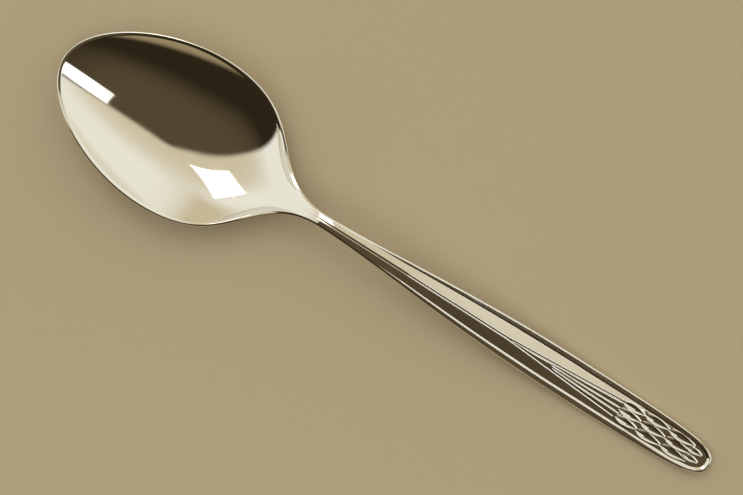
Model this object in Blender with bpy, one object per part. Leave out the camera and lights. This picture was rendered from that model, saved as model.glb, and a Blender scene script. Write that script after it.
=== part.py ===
# Tablespoon: a deep oval bowl that narrows to a slim neck and runs on into an arched, bordered handle.
# It is struck from one piece of steel. The bowl and the handle are divided here by a thin seam at the neck.
# Lengths are in metres, and places along the spoon are counted from the tip of the bowl.

import math

import bmesh
import bpy
import numpy as np
from mathutils import Matrix, Vector
from mathutils.geometry import interpolate_bezier

# Outline, seen from above
LENGTH = 0.200
BOWL_WIDTH = 0.0444
BOWL_WIDEST_AT = 0.0372
NECK_WIDTH = 0.0040
NECK_AT = 0.080
HANDLE_WIDTH = 0.0116
HANDLE_WIDEST_AT = 0.1573

# How far each curve of the outline runs on in the direction it starts or ends in
TIP_REACH = 0.0113
BOWL_REACH = 0.0178
SHOULDER_REACH = 0.0267
NECK_REACH = 0.0213
SHANK_REACH = 0.0182
HANDLE_REACH = 0.0368
END_REACH = 0.0400
CORNER_REACH = 0.0049

# Side view: heights of the middle of the metal above the floor of the bowl, and slopes along it
TIP_RISE = 0.0100
TIP_SLOPE = -0.56
FLOOR_AT = 0.042
SIDE_RISE = 0.0100
BOWL_FULLNESS = 0.2
SHOULDER_AT = 0.060
SHOULDER_RISE = 0.0074
HEEL_AT = 0.064
HEEL_RISE = 0.0037
NECK_RISE = 0.0102
NECK_SLOPE = 0.14
ARCH_AT = 0.095
ARCH_RISE = 0.0109
SHANK_AT = 0.128
SHANK_RISE = 0.0060
FOOT_AT = 0.178
FOOT_RISE = 0.0004
END_RISE = 0.0012

# Thickness of the metal, and how wide its edges are rounded off
BOWL_THICKNESS = 0.0014
RIM_THICKNESS = 0.0011
RIM_ROUND = 0.0006
NECK_THICKNESS = 0.0032
NECK_ROUND = 0.0015
HANDLE_THICKNESS = 0.0023

# Upper face of the handle: two fields that slope like a roof, with a raised border along each edge
ROOF_SLOPE = 0.16
ROOF_POWER = 1.15
BORDER_HEIGHT = 0.0004
BORDER_CREST = 0.0005
BORDER_WIDTH = 0.0018

# Depth of the flats on the underside that the spoon rests on, and the seam between the two nodes
REST_FLAT = 0.0001
SEAM = 0.0003

# How finely the blank is divided: round a cross-section, and along each curve of the outline
AROUND = 44
STEPS_ALONG = (16, 24, 24, 26)

# Mirror-polished steel
STEEL_COLOUR = (0.80, 0.78, 0.73, 1.0)
STEEL_ROUGHNESS = 0.06


def outline():
    """Places along the spoon and the half-width at each, from the tip to the end of the handle."""
    tip = Vector((0, 0))
    bowl = Vector((BOWL_WIDEST_AT, BOWL_WIDTH / 2))
    neck = Vector((NECK_AT, NECK_WIDTH / 2))
    handle = Vector((HANDLE_WIDEST_AT, HANDLE_WIDTH / 2))
    end = Vector((LENGTH, 0))
    along = Vector((1, 0))
    sideways = Vector((0, 1))
    curves = (
        (tip, tip + TIP_REACH * sideways, bowl - BOWL_REACH * along, bowl),
        (bowl, bowl + SHOULDER_REACH * along, neck - NECK_REACH * along, neck),
        (neck, neck + SHANK_REACH * along, handle - HANDLE_REACH * along, handle),
        (handle, handle + END_REACH * along, end + CORNER_REACH * sideways, end),
    )
    points = [tip]
    for (start, leave, arrive, stop), steps in zip(curves, STEPS_ALONG):
        points += interpolate_bezier(start, leave, arrive, stop, steps + 1)[1:]
    return np.array(points).T


def eased(x, start, stop):
    """A smooth step from 0 at start to 1 at stop."""
    share = np.clip((x - start) / (stop - start), 0, 1)
    return share**2 * (3 - 2 * share)


def flowing_line(places, heights, first_slope, last_slope, x):
    """Heights at x of the cubic spline through the given places and heights, with the given end slopes."""
    spans = np.diff(places)
    slopes = np.concatenate(([first_slope], np.diff(heights) / spans, [last_slope]))
    system = np.diag(2 * (np.append(spans, 0) + np.append(0, spans)))
    system += np.diag(spans, 1) + np.diag(spans, -1)
    bends = np.linalg.solve(system, np.diff(slopes))
    k = np.clip(np.searchsorted(places, x) - 1, 0, len(spans) - 1)
    behind = x - places[k]
    ahead = places[k + 1] - x
    curved = bends[k] * ahead * (ahead**2 - spans[k]**2) + bends[k + 1] * behind * (behind**2 - spans[k]**2)
    return (heights[k] * ahead + heights[k + 1] * behind + curved) / spans[k]


def side_view(x):
    """Heights of the middle of the metal along the centre line, and how far the bowl's rim is above it."""
    bowl_places = np.array([0, FLOOR_AT, HEEL_AT, NECK_AT])
    bowl_heights = np.array([TIP_RISE, 0, HEEL_RISE, NECK_RISE])
    bowl_keel = flowing_line(bowl_places, bowl_heights, TIP_SLOPE, NECK_SLOPE, x)
    rim_places = np.array([0, BOWL_WIDEST_AT, SHOULDER_AT, NECK_AT])
    rim_heights = np.array([TIP_RISE, SIDE_RISE, SHOULDER_RISE, NECK_RISE])
    rim = flowing_line(rim_places, rim_heights, 0, NECK_SLOPE, x)
    handle_places = np.array([NECK_AT, ARCH_AT, SHANK_AT, FOOT_AT, LENGTH])
    handle_heights = np.array([NECK_RISE, ARCH_RISE, SHANK_RISE, FOOT_RISE, END_RISE])
    end_slope = (END_RISE - FOOT_RISE) / (LENGTH - FOOT_AT)
    handle_keel = flowing_line(handle_places, handle_heights, NECK_SLOPE, end_slope, x)
    keel = np.where(x < NECK_AT, bowl_keel, handle_keel)
    depth = np.where(x < NECK_AT, rim - bowl_keel, 0)
    return keel, depth


def table_line(x, underside):
    """Heights at x of the straight line on which the underside rests, under the bowl and near the end."""
    line = np.zeros_like(x)
    for _ in range(4):
        clear = underside - line
        bowl = np.argmin(np.where(x < NECK_AT, clear, math.inf))
        foot = np.argmin(np.where(x > ARCH_AT, clear, math.inf))
        slope = (underside[foot] - underside[bowl]) / (x[foot] - x[bowl])
        line = underside[bowl] + slope * (x - x[bowl])
    return line


def blank_rings():
    """What the cross-section needs at each ring of the blank, from the tip to the end of the handle."""
    x, half_width = outline()
    keel, depth = side_view(x)
    at_neck = eased(x, HEEL_AT, NECK_AT)
    on_handle = eased(x, NECK_AT, ARCH_AT)
    beyond_neck = (HANDLE_THICKNESS - NECK_THICKNESS) * on_handle
    thickness = BOWL_THICKNESS + (NECK_THICKNESS - BOWL_THICKNESS) * at_neck + beyond_neck
    seat = table_line(x, keel - thickness / 2) + REST_FLAT
    return {
        "x": x,
        "half_width": half_width,
        "spread": np.gradient(half_width**2, x) / 2,
        "keel": keel - seat,
        "depth": depth,
        "thickness": thickness,
        "edge_thickness": RIM_THICKNESS + (NECK_THICKNESS - RIM_THICKNESS) * at_neck + beyond_neck,
        "edge_round": RIM_ROUND + (NECK_ROUND - RIM_ROUND) * at_neck * (1 - on_handle),
        "roof": ROOF_SLOPE * on_handle,
        "border": BORDER_HEIGHT * eased(x, ARCH_AT, SHANK_AT),
    }


def section_heights(ring, across, upper):
    """Heights of the skin at a share across of the half-width, on the upper or the lower face."""
    y = ring["half_width"] * across
    steepness = np.maximum(np.hypot(ring["spread"], y), RIM_ROUND)
    to_edge = (ring["half_width"]**2 - y**2) / (2 * steepness)
    rounding = np.sqrt(1 - (1 - np.minimum(to_edge / ring["edge_round"], 1))**2)

    # The middle of the metal dips from rim to keel in the bowl, and falls to the edges of the handle
    dish = ring["depth"] * across**2 * (1 - BOWL_FULLNESS + BOWL_FULLNESS * across**2)
    fall = ring["roof"] * ring["half_width"] * np.abs(across)**ROOF_POWER
    middle = ring["keel"] + dish - fall
    half_thickness = (ring["thickness"] + (ring["edge_thickness"] - ring["thickness"]) * across**2) / 2

    border = ring["border"] * np.clip((BORDER_WIDTH - to_edge) / (BORDER_WIDTH - BORDER_CREST), 0, 1)
    upper_face = middle + (half_thickness + border) * rounding
    lower_face = middle - (half_thickness - fall) * rounding
    return np.where(upper, upper_face, lower_face)


def make_blank():
    """The whole spoon, drawn out of a ball whose poles become the bowl's tip and the handle's end."""
    blank = bmesh.new()
    bmesh.ops.create_uvsphere(blank, u_segments=AROUND, v_segments=sum(STEPS_ALONG), radius=1)
    bmesh.ops.rotate(blank, verts=blank.verts, matrix=Matrix.Rotation(-math.pi / 2, 3, "Y"))
    ball = np.array([vert.co for vert in blank.verts])
    ring_number = np.rint(np.arccos(np.clip(-ball[:, 0], -1, 1)) / math.pi * sum(STEPS_ALONG)).astype(int)
    ring = {name: values[ring_number] for name, values in blank_rings().items()}
    across = ball[:, 1] / np.maximum(np.hypot(ball[:, 1], ball[:, 2]), 1e-6)
    heights = section_heights(ring, across, ball[:, 2] > 0)
    for vert, place in zip(blank.verts, zip(ring["x"], ring["half_width"] * across, heights)):
        vert.co = place
    return blank


def cut_away(body, place, facing):
    """Take off what lies beyond a plane, on the side it faces, and close the cut with a flat face."""
    everything = body.verts[:] + body.edges[:] + body.faces[:]
    bmesh.ops.bisect_plane(body, geom=everything, plane_co=place, plane_no=facing, clear_outer=True)
    cut_edges = [edge for edge in body.edges if edge.is_boundary]
    bmesh.ops.holes_fill(body, edges=cut_edges, sides=0)


def make_steel(name):
    """Polished steel."""
    steel = bpy.data.materials.new(name)
    steel.use_nodes = True
    finish = steel.node_tree.nodes["Principled BSDF"]
    finish.inputs["Base Color"].default_value = STEEL_COLOUR
    finish.inputs["Metallic"].default_value = 1.0
    finish.inputs["Roughness"].default_value = STEEL_ROUGHNESS
    return steel


def add_node(name, seam_at, seam_facing, spoon, collection):
    """One end of the blank, cut off at the seam and flattened where it rests on the table."""
    body = make_blank()
    cut_away(body, Vector((seam_at, 0, 0)), Vector((seam_facing, 0, 0)))
    cut_away(body, Vector((0, 0, 0)), Vector((0, 0, -1)))
    bmesh.ops.recalc_face_normals(body, faces=body.faces)
    mesh = bpy.data.meshes.new(name)
    body.to_mesh(mesh)
    body.free()
    mesh.materials.append(make_steel(name + "_steel"))
    node = bpy.data.objects.new(name, mesh)
    node.parent = spoon
    collection.objects.link(node)


for leftover in list(bpy.data.objects):
    bpy.data.objects.remove(leftover)

tablespoon = bpy.data.collections.new("tablespoon")
bpy.context.scene.collection.children.link(tablespoon)

# The spoon's tip is half its length behind the origin, so that the origin lies under its middle
spoon_tip = bpy.data.objects.new("spoon_tip", None)
spoon_tip.location.x = -LENGTH / 2
tablespoon.objects.link(spoon_tip)

add_node("bowl", NECK_AT - SEAM / 2, 1, spoon_tip, tablespoon)
add_node("handle", NECK_AT + SEAM / 2, -1, spoon_tip, tablespoon)
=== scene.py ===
import math

import bmesh
import bpy
import numpy as np
from mathutils import Matrix, Vector
from mathutils.geometry import interpolate_bezier


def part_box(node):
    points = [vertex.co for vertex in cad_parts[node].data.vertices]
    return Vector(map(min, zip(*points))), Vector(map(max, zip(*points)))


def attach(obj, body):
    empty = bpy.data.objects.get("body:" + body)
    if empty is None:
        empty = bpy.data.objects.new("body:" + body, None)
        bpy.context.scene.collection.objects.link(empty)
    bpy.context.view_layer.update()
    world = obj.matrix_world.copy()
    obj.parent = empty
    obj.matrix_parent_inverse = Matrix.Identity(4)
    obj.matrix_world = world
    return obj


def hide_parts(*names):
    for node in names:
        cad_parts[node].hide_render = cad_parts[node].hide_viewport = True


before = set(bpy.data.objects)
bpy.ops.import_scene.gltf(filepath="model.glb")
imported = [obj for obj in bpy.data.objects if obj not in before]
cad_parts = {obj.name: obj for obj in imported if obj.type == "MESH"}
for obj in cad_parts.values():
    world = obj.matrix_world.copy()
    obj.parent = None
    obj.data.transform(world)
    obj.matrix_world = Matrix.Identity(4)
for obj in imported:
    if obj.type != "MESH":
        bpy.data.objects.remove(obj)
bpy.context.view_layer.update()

# Spoon
# One blank of steel, rolled thinner towards the bowl, cut to its outline and struck in a die.
# Bowl, neck and handle are the same unbroken metal, so a single skin stands for both solids.
# Places along the spoon are counted in metres from the tip of the bowl.
bowl_low, bowl_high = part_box("bowl")
handle_low, handle_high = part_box("handle")
tip_at = bowl_low.x
length = handle_high.x - tip_at
bowl_width = bowl_high.y - bowl_low.y
handle_width = handle_high.y - handle_low.y
neck_at = (bowl_high.x + handle_low.x) / 2 - tip_at

# Outline from above: four curves, given by where they meet and how far each runs on at its ends
bowl_widest_at = 0.0372
neck_width = 0.0040
handle_widest_at = 0.1573
tip_reach = 0.0113
bowl_reach = 0.0178
shoulder_reach = 0.0267
neck_reach = 0.0213
shank_reach = 0.0182
handle_reach = 0.0368
end_reach = 0.0400
corner_reach = 0.0049


def outline(steps):
    """Places along the spoon and the half-width at each, from the tip to the end of the handle."""
    tip = Vector((0, 0))
    bowl = Vector((bowl_widest_at, bowl_width / 2))
    neck = Vector((neck_at, neck_width / 2))
    handle = Vector((handle_widest_at, handle_width / 2))
    end = Vector((length, 0))
    along = Vector((1, 0))
    sideways = Vector((0, 1))
    curves = (
        (tip, tip + tip_reach * sideways, bowl - bowl_reach * along, bowl),
        (bowl, bowl + shoulder_reach * along, neck - neck_reach * along, neck),
        (neck, neck + shank_reach * along, handle - handle_reach * along, handle),
        (handle, handle + end_reach * along, end + corner_reach * sideways, end),
    )
    points = [tip]
    for start, leave, arrive, stop in curves:
        points += interpolate_bezier(start, leave, arrive, stop, steps + 1)[1:]
    return np.array(points).T


# Rings of the skin: closer where the lip turns round the tip, at the neck and over the ornament
ring_places = (0.000, 0.004, 0.012, 0.060, 0.068, 0.090, 0.098, 0.138, 0.146, 0.200)
ring_spacings = (0.00025, 0.00035, 0.0009, 0.0009, 0.00055, 0.00055, 0.0009, 0.0009, 0.00027, 0.00022)
fine_x, fine_width = outline(steps=400)
spacing = np.interp(fine_x[1:], ring_places, ring_spacings)
ring_tally = np.append(0, np.cumsum(np.hypot(np.diff(fine_x), np.diff(fine_width)) / spacing))
rings = round(ring_tally[-1])
tally = np.linspace(0, ring_tally[-1], rings + 1)
ring_x = np.interp(tally, ring_tally, fine_x)
ring_width = np.interp(tally, ring_tally, fine_width)
ring_spread = np.interp(ring_x, fine_x, np.gradient(fine_width**2, fine_x) / 2)


def eased(x, start, stop):
    """A smooth step from 0 at start to 1 at stop."""
    share = np.clip((x - start) / (stop - start), 0, 1)
    return share**2 * (3 - 2 * share)


def flowing_line(places, heights, first_slope, last_slope, x):
    """Heights at x of the cubic spline through the places and heights, with the given end slopes."""
    spans = np.diff(places)
    slopes = np.concatenate(([first_slope], np.diff(heights) / spans, [last_slope]))
    system = np.diag(2 * (np.append(spans, 0) + np.append(0, spans)))
    system += np.diag(spans, 1) + np.diag(spans, -1)
    bends = np.linalg.solve(system, np.diff(slopes))
    k = np.clip(np.searchsorted(places, x) - 1, 0, len(spans) - 1)
    behind = x - places[k]
    ahead = places[k + 1] - x
    straight = heights[k] * ahead + heights[k + 1] * behind
    curved = bends[k] * ahead * (ahead**2 - spans[k]**2)
    curved += bends[k + 1] * behind * (behind**2 - spans[k]**2)
    return (straight + curved) / spans[k]


# Side view: heights of the middle of the metal above the bowl's floor, along the keel and the rim
tip_rise = 0.0100
tip_slope = -0.56
floor_at = 0.042
side_rise = 0.0100
shoulder_at = 0.060
shoulder_rise = 0.0074
heel_at = 0.064
heel_rise = 0.0037
neck_rise = 0.0102
neck_slope = 0.14
arch_at = 0.095
arch_rise = 0.0109
shank_at = 0.128
shank_rise = 0.0060
foot_at = 0.178
foot_rise = 0.0004
end_rise = 0.0012
end_slope = (end_rise - foot_rise) / (length - foot_at)
bowl_places = np.array([0, floor_at, heel_at, neck_at])
bowl_heights = np.array([tip_rise, 0, heel_rise, neck_rise])
bowl_keel = flowing_line(bowl_places, bowl_heights, tip_slope, neck_slope, ring_x)
handle_places = np.array([neck_at, arch_at, shank_at, foot_at, length])
handle_heights = np.array([neck_rise, arch_rise, shank_rise, foot_rise, end_rise])
handle_keel = flowing_line(handle_places, handle_heights, neck_slope, end_slope, ring_x)
rim_places = np.array([0, bowl_widest_at, shoulder_at, neck_at])
rim_heights = np.array([tip_rise, side_rise, shoulder_rise, neck_rise])
rim = flowing_line(rim_places, rim_heights, 0, neck_slope, ring_x)
ring_keel = np.where(ring_x < neck_at, bowl_keel, handle_keel)
ring_depth = np.where(ring_x < neck_at, rim - bowl_keel, 0)

# Thickness: thin in the bowl, sturdy at the neck, and even along the handle
bowl_thickness = 0.0014
rim_thickness = 0.0011
neck_thickness = 0.0032
handle_thickness = 0.0023
at_neck = eased(ring_x, heel_at, neck_at)
on_handle = eased(ring_x, neck_at, arch_at)
beyond_neck = (handle_thickness - neck_thickness) * on_handle
ring_thickness = bowl_thickness + (neck_thickness - bowl_thickness) * at_neck + beyond_neck
ring_edge_thickness = rim_thickness + (neck_thickness - rim_thickness) * at_neck + beyond_neck

# The spoon is laid down on the table, which it touches under the bowl and near the handle's end
rest_flat = 0.0001
settling_steps = 4
seat = np.zeros_like(ring_x)
underside = ring_keel - ring_thickness / 2
for _ in range(settling_steps):
    clear = underside - seat
    bowl_touch = np.argmin(np.where(ring_x < neck_at, clear, math.inf))
    foot_touch = np.argmin(np.where(ring_x > arch_at, clear, math.inf))
    climb = underside[foot_touch] - underside[bowl_touch]
    tilt = climb / (ring_x[foot_touch] - ring_x[bowl_touch])
    seat = underside[bowl_touch] + tilt * (ring_x - ring_x[bowl_touch])
ring_keel -= seat + rest_flat

# Edges: rounded off all round, and more at the end of the handle
edge_round = 0.0003
end_round = 0.0010
end_turns_at = 0.194
end_closes_at = 0.1985
ring_round = np.interp(ring_x, (end_turns_at, end_closes_at), (edge_round, end_round))

# Skin
# The ball that becomes the spoon has its poles at the tip and at the handle's end, and three
# quarters of its meridians on the upper face, which carries all the relief. They lie partly evenly
# across it and partly closer towards the edges.
around = 192
upper_share = 0.75
even_share = 0.25
skin = bmesh.new()
bmesh.ops.create_uvsphere(skin, u_segments=around, v_segments=rings, radius=1)
bmesh.ops.rotate(skin, verts=skin.verts, matrix=Matrix.Rotation(-math.pi / 2, 3, "Y"))
ball = np.array([vert.co for vert in skin.verts])
ring = np.rint(np.arccos(np.clip(-ball[:, 0], -1, 1)) / math.pi * rings).astype(int)
meridian = np.rint(np.arctan2(ball[:, 2], ball[:, 1]) / (2 * math.pi) * around) % around / around
upper = meridian <= upper_share
sweep = np.where(upper, meridian / upper_share, (1 - meridian) / (1 - upper_share))
across = even_share * (1 - 2 * sweep) + (1 - even_share) * np.cos(math.pi * sweep)

x = ring_x[ring]
half_width = ring_width[ring]
y = half_width * across
spread = ring_spread[ring]
to_edge = (half_width**2 - y**2) / (np.hypot(spread, y) + np.hypot(spread, half_width))
edge = ring_round[ring]
rounding = np.sqrt(1 - (1 - np.minimum(to_edge / edge, 1))**2)

# The bowl is dished from its lip to the keel, and the lip is ground to a narrow flat
bowl_fullness = 0.2
lip_width = 0.0011
lip_slope = 0.45
lip_fades_from = 0.056
lip_fades_to = 0.072
dish = ring_depth[ring] * across**2 * (1 - bowl_fullness + bowl_fullness * across**2)
lip_fade = 1 - eased(x, lip_fades_from, lip_fades_to)
lip = lip_slope * lip_fade * np.maximum(lip_width - to_edge, 0)

# Bevel: the outer edge of the upper face, steepest where the heel of the bowl rises to the neck
bevel_slope_places = (0.060, 0.070, 0.080, 0.095)
bevel_slopes = (0.90, 1.40, 0.60, 0.45)
bevel_width_places = (0.050, 0.066, 0.100, 0.197)
bevel_widths = (0.0005, 0.0008, 0.0006, 0.0005)
bevel_slope = np.interp(x, bevel_slope_places, bevel_slopes)
bevel_width = np.interp(x, bevel_width_places, bevel_widths)
bevel = bevel_slope * np.maximum(bevel_width - to_edge, 0)

# The handle falls like a roof from its middle to its edges, but for a level panel under the ornament
roof_slope = 0.20
roof_power = 1.08
roof_from = 0.070
roof_to = 0.082
fork_at = 0.1365
ears_at = 0.1719
ears_half_width = 0.00225
panel_full_at = 0.178
panel_half_width = 0.0033
least_width = 1e-6
panel_places = (fork_at, ears_at, panel_full_at)
panel = np.interp(x, panel_places, (0, ears_half_width, panel_half_width))
beside = np.clip(np.maximum(np.abs(y), panel) / np.maximum(half_width, least_width), 0, 1)
fall = roof_slope * eased(x, roof_from, roof_to) * half_width * beside**roof_power
middle = ring_keel[ring] + dish - lip - fall
edge_growth = (ring_edge_thickness - ring_thickness)[ring]
half_thickness = (ring_thickness[ring] + edge_growth * across**2) / 2

# Border: a level crest along the edge of the handle, with a narrow slope down to the fields
# that takes more of the border's width near the end
border_from = 0.088
border_to = 0.105
border_slope = 0.60
border_places = (0.092, 0.106, 0.121, 0.140, 0.160, 0.185, end_turns_at, end_closes_at)
border_widths = (0.0001, 0.0007, 0.0011, 0.00145, 0.00155, 0.00135, 0.0011, 0.0007)
crest_places = (0.176, 0.190)
crest_shares = (0.70, 0.30)
least_margin = 0.0005
border_width = np.interp(x, border_places, border_widths)
crest_width = np.interp(x, crest_places, crest_shares) * border_width
past_margin = np.maximum(edge, least_margin) - to_edge
crest_rise = roof_slope * np.clip(past_margin + crest_width, 0, crest_width)
border_rise = border_slope * np.clip(past_margin + border_width, 0, border_width - crest_width)
border = eased(x, border_from, border_to) * (crest_rise + border_rise)


def groove(distance, reach):
    """Depth, from 0 to 1, of a rounded groove at a distance from its middle."""
    return np.cos(math.pi / 2 * np.clip(distance / reach, -1, 1))**2


# Stems: one groove leaves the neck and forks on the handle, and two more grooves part what lies
# between into three stems
stem_depth = 0.00012
groove_full_at = 0.084
stems_from = 0.149
stems_full_at = 0.156
stem_ends = 0.001
groove_reaches = (0.00038, 0.00043)
stem_half_widths = (0.00025, 0.0007)
rib_side = np.interp(x, (fork_at, ears_at), (0, ears_half_width))
stem_side = np.interp(x, (stems_from, ears_at), stem_half_widths)
groove_reach = np.interp(x, (neck_at, fork_at), groove_reaches)
stems_fade = 1 - eased(x, ears_at - stem_ends, ears_at + stem_ends)
rib_lines = groove(np.abs(y) - rib_side, groove_reach) * eased(x, roof_from, groove_full_at)
stem_lines = groove(np.abs(y) - stem_side, groove_reach) * eased(x, stems_from, stems_full_at)
stems = np.maximum(rib_lines, stem_lines) * stems_fade

# Ears of wheat: scooped grains with thin raised husks, in three rows of three and a last pair.
# Each rank has its place, the length and half-width of its grains, and how far aside they lie.
grain_depth = 0.00025
grain_fullness = 0.75
husk_height = 0.0001
husk_width = 0.00024
husk_opens = 0.08
husk_closes = 0.9
ranks = (
    (ears_at, 0.0069, 0.0009, (-0.00215, 0, 0.00215)),
    (0.1786, 0.0077, 0.0010, (-0.0024, 0, 0.0024)),
    (0.1861, 0.0080, 0.0010, (-0.0023, 0, 0.0023)),
    (0.1924, 0.0044, 0.0007, (-0.0011, 0.0011)),
)
scoops = np.zeros_like(x)
husks = np.zeros_like(x)
for start, grain_length, grain_half_width, rows in ranks:
    along = np.clip((x - start) / grain_length, 0, 1)
    grain_half = grain_half_width * np.sin(math.pi * along**grain_fullness)
    husk_fade = eased(along, 0, husk_opens) * (1 - eased(along, husk_closes, 1))
    for row in rows:
        off = np.abs(y - row)
        hollow = np.clip(1 - (off / np.maximum(grain_half, least_width))**2, 0, 1)
        scoop = hollow * grain_half / grain_half_width
        husk = np.exp(-((off - grain_half) / husk_width)**2) * husk_fade
        scoops = np.maximum(scoops, scoop)
        husks = np.maximum(husks, husk)

relief = husk_height * husks - grain_depth * scoops - stem_depth * stems

# The rounded edge lies midway between the upper and the lower face
upper_face = middle + half_thickness + border + relief - bevel
lower_face = middle - half_thickness + fall
edge_line = (upper_face + lower_face) / 2
half_gap = (upper_face - lower_face) / 2
heights = np.maximum(edge_line + np.where(upper, half_gap, -half_gap) * rounding, 0)

# How much shade is painted into the grooves and grains, as darker metal
stem_painted_shade = 0.8
grain_painted_shade = 0.4
painted_groove_shade = np.clip(stem_painted_shade * stems + grain_painted_shade * scoops, 0, 1) * upper

painted_groove_shade_layer = skin.verts.layers.float.new("painted_groove_shade")
for vert, place, depth in zip(skin.verts, zip(x + tip_at, y, heights), painted_groove_shade):
    vert.co = place
    vert[painted_groove_shade_layer] = depth
bmesh.ops.recalc_face_normals(skin, faces=skin.faces)
spoon_mesh = bpy.data.meshes.new("spoon")
skin.to_mesh(spoon_mesh)
skin.free()
spoon_mesh.shade_smooth()

# Polished steel
# Mirror polish over faintly uneven rolled metal, with the marks of use: hairline scratches and a
# patchy haze. Shade is painted into the grooves and grains as darker metal.
steel = bpy.data.materials.new("polished_steel")
steel.use_nodes = True
nodes = steel.node_tree.nodes
links = steel.node_tree.links
finish = nodes["Principled BSDF"]
finish.inputs["Metallic"].default_value = 1.0

position = nodes.new("ShaderNodeTexCoord")
haze = nodes.new("ShaderNodeTexNoise")
haze.inputs["Scale"].default_value = 70
haze.inputs["Detail"].default_value = 4
links.new(position.outputs["Object"], haze.inputs["Vector"])

scratch_turn = nodes.new("ShaderNodeMapping")
scratch_turn.inputs["Rotation"].default_value = (0, 0, math.radians(14))
scratch_turn.inputs["Scale"].default_value = (60, 5000, 60)
links.new(position.outputs["Object"], scratch_turn.inputs["Vector"])
scratches = nodes.new("ShaderNodeTexNoise")
scratches.inputs["Scale"].default_value = 1
scratches.inputs["Detail"].default_value = 2
links.new(scratch_turn.outputs["Vector"], scratches.inputs["Vector"])
scratch_lines = nodes.new("ShaderNodeMapRange")
scratch_lines.inputs["From Min"].default_value = 0.62
scratch_lines.inputs["From Max"].default_value = 0.74
links.new(scratches.outputs["Fac"], scratch_lines.inputs["Value"])

painted_groove_shade_attribute = nodes.new("ShaderNodeAttribute")
painted_groove_shade_attribute.attribute_name = "painted_groove_shade"

# Painted shade: the steel's colour darkens towards the second colour in the grooves and grains
steel_with_painted_shade = nodes.new("ShaderNodeMix")
steel_with_painted_shade.data_type = "RGBA"
steel_with_painted_shade.inputs["A"].default_value = (0.80, 0.78, 0.73, 1)
steel_with_painted_shade.inputs["B"].default_value = (0.45, 0.42, 0.36, 1)
links.new(painted_groove_shade_attribute.outputs["Fac"], steel_with_painted_shade.inputs["Factor"])
links.new(steel_with_painted_shade.outputs["Result"], finish.inputs["Base Color"])

haze_roughness = nodes.new("ShaderNodeMapRange")
haze_roughness.inputs["From Min"].default_value = 0.35
haze_roughness.inputs["From Max"].default_value = 0.75
haze_roughness.inputs["To Min"].default_value = 0.035
haze_roughness.inputs["To Max"].default_value = 0.065
links.new(haze.outputs["Fac"], haze_roughness.inputs["Value"])
scratch_roughness = nodes.new("ShaderNodeMath")
scratch_roughness.operation = "MULTIPLY_ADD"
scratch_roughness.inputs[1].default_value = 0.08
links.new(scratch_lines.outputs["Result"], scratch_roughness.inputs[0])
links.new(haze_roughness.outputs["Result"], scratch_roughness.inputs[2])
links.new(scratch_roughness.outputs["Value"], finish.inputs["Roughness"])

ripple = nodes.new("ShaderNodeTexNoise")
ripple.inputs["Scale"].default_value = 55
ripple.inputs["Detail"].default_value = 1
links.new(position.outputs["Object"], ripple.inputs["Vector"])
unevenness = nodes.new("ShaderNodeMath")
unevenness.operation = "MULTIPLY_ADD"
unevenness.inputs[1].default_value = -0.02
links.new(scratch_lines.outputs["Result"], unevenness.inputs[0])
links.new(ripple.outputs["Fac"], unevenness.inputs[2])
rolled = nodes.new("ShaderNodeBump")
rolled.inputs["Strength"].default_value = 1.0
rolled.inputs["Distance"].default_value = 0.00005
links.new(unevenness.outputs["Value"], rolled.inputs["Height"])
links.new(rolled.outputs["Normal"], finish.inputs["Normal"])
spoon_mesh.materials.append(steel)

spoon = bpy.data.objects.new("spoon", spoon_mesh)
bpy.context.scene.collection.objects.link(spoon)
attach(spoon, "root")
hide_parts("bowl", "handle")

# Table
# A plain sheet of pale, warm paper that reaches far past the spoon on all sides. It lies a hair
# lower than the flats that the spoon rests on, so that no two faces share a plane.
table_size = 8.0
table_drop = 0.00002
table_bmesh = bmesh.new()
bmesh.ops.create_grid(table_bmesh, x_segments=1, y_segments=1, size=table_size / 2)
bmesh.ops.translate(table_bmesh, verts=table_bmesh.verts, vec=(0, 0, -table_drop))
table_mesh = bpy.data.meshes.new("table")
table_bmesh.to_mesh(table_mesh)
table_bmesh.free()
paper = bpy.data.materials.new("pale_paper")
paper.use_nodes = True
paper_finish = paper.node_tree.nodes["Principled BSDF"]
paper_finish.inputs["Base Color"].default_value = (0.47, 0.393, 0.262, 1)
paper_finish.inputs["Roughness"].default_value = 0.9
paper_finish.inputs["Specular IOR Level"].default_value = 0.2
table_mesh.materials.append(paper)
table = bpy.data.objects.new("table", table_mesh)
bpy.context.scene.collection.objects.link(table)

# Studio
# A cream wall on one side and beyond the bowl, a dark brown one on the other side, and sand colour
# near the ground all round. A white light box above each end of the spoon shows in the metal, and a
# wide fill light that the metal does not mirror softens the shadows.
world = bpy.data.worlds.new("studio")
world.use_nodes = True
bpy.context.scene.world = world
sky_nodes = world.node_tree.nodes
sky_links = world.node_tree.links
direction = sky_nodes.new("ShaderNodeTexCoord")


def soft_edge(towards, low, high):
    """A soft step from 0 to 1 as the view, measured along a vector, goes from low to high."""
    measure = sky_nodes.new("ShaderNodeVectorMath")
    measure.operation = "DOT_PRODUCT"
    measure.inputs[1].default_value = towards
    sky_links.new(direction.outputs["Generated"], measure.inputs[0])
    step = sky_nodes.new("ShaderNodeMapRange")
    step.interpolation_type = "SMOOTHSTEP"
    step.inputs["From Min"].default_value = low
    step.inputs["From Max"].default_value = high
    sky_links.new(measure.outputs["Value"], step.inputs["Value"])
    return step.outputs["Result"]


def blend(share, first, second):
    """A mix of two colours, each a plain colour or the outcome of another mix."""
    mix = sky_nodes.new("ShaderNodeMix")
    mix.data_type = "RGBA"
    sky_links.new(share, mix.inputs["Factor"])
    for name, colour in (("A", first), ("B", second)):
        if isinstance(colour, tuple):
            mix.inputs[name].default_value = colour
        else:
            sky_links.new(colour, mix.inputs[name])
    return mix.outputs["Result"]


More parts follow.
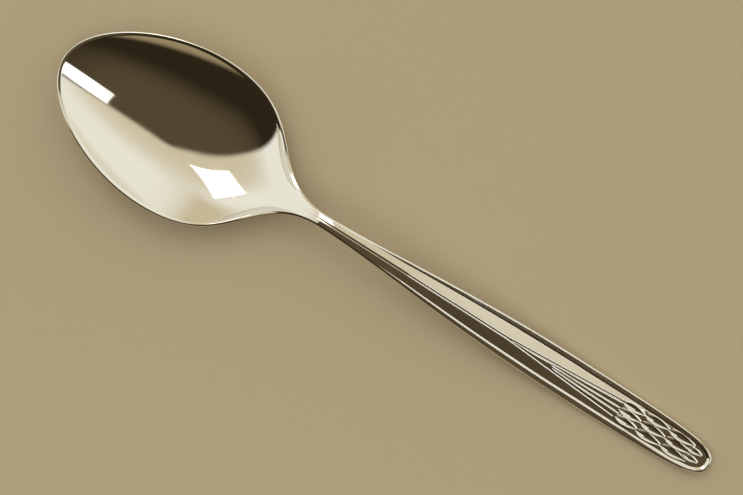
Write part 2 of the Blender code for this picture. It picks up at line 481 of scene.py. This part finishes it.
overhead = soft_edge((0, 0, 1), 0.60, 0.95)
brown = blend(overhead, (0.030, 0.021, 0.011, 1), (0.105, 0.078, 0.042, 1))
cream = blend(overhead, (1.00, 0.98, 0.88, 1), (0.74, 0.66, 0.47, 1))
straw = blend(soft_edge((0, 1, 0), 0.55, 0.75), cream, (0.70, 0.61, 0.41, 1))
cream = blend(soft_edge((-1, 0, 0), 0.00, 0.36), cream, straw)
lit_side = soft_edge((0, 1, 0), 0.26, 0.36)
lit_end = soft_edge((-1, 0.65, 0), 0.20, 0.28)
walls = blend(lit_end, blend(lit_side, brown, cream), cream)
sand = blend(lit_side, (0.38, 0.30, 0.17, 1), (0.88, 0.82, 0.66, 1))
room = blend(soft_edge((-0.5, 0, 1), 0.12, 0.24), sand, walls)
sky_links.new(room, sky_nodes["Background"].inputs["Color"])
sky_nodes["Background"].inputs["Strength"].default_value = 1.0


def add_light_box(name, away, spin, width, depth, power):
    """A white light box that faces the spoon from the given place, spun about the line to it."""
    lamp = bpy.data.lights.new(name, "AREA")
    lamp.shape = "RECTANGLE"
    lamp.size = width
    lamp.size_y = depth
    lamp.energy = power
    light_box = bpy.data.objects.new(name, lamp)
    facing = Vector(away).to_track_quat("Z", "Y").to_matrix().to_4x4()
    light_box.matrix_world = Matrix.Translation(away) @ facing @ Matrix.Rotation(spin, 4, "Z")
    bpy.context.scene.collection.objects.link(light_box)
    return light_box


add_light_box(
    "handle_light", away=(0.49, 0.18, 0.85), spin=math.radians(-23), width=0.23, depth=0.46, power=0.48
)
add_light_box("bowl_light", away=(-0.43, 0.36, 0.83), spin=0, width=0.32, depth=0.42, power=1.0)
fill_light = add_light_box("fill_light", away=(0, -0.30, 1.0), spin=0, width=1.0, depth=1.0, power=4.0)
fill_light.visible_glossy = False

# Camera
# It looks almost straight down from a little over a third of a metre, leaning slightly towards the
# bottom of the picture.
view_turn = math.radians(32.36)
view_lean = math.radians(0.73)
view_distance = 0.38362
view_aim = Vector((-0.00612, 0.00105, 0))
camera_data = bpy.data.cameras.new("camera")
camera_data.lens = 70
camera_data.sensor_width = 36
camera = bpy.data.objects.new("camera", camera_data)
turn = Matrix.Rotation(view_turn, 4, "Z") @ Matrix.Rotation(view_lean, 4, "X")
back_off = Matrix.Translation((0, 0, view_distance))
camera.matrix_world = Matrix.Translation(view_aim) @ turn @ back_off
bpy.context.scene.collection.objects.link(camera)
bpy.context.scene.camera = camera

bpy.context.scene.view_settings.view_transform = "Standard"
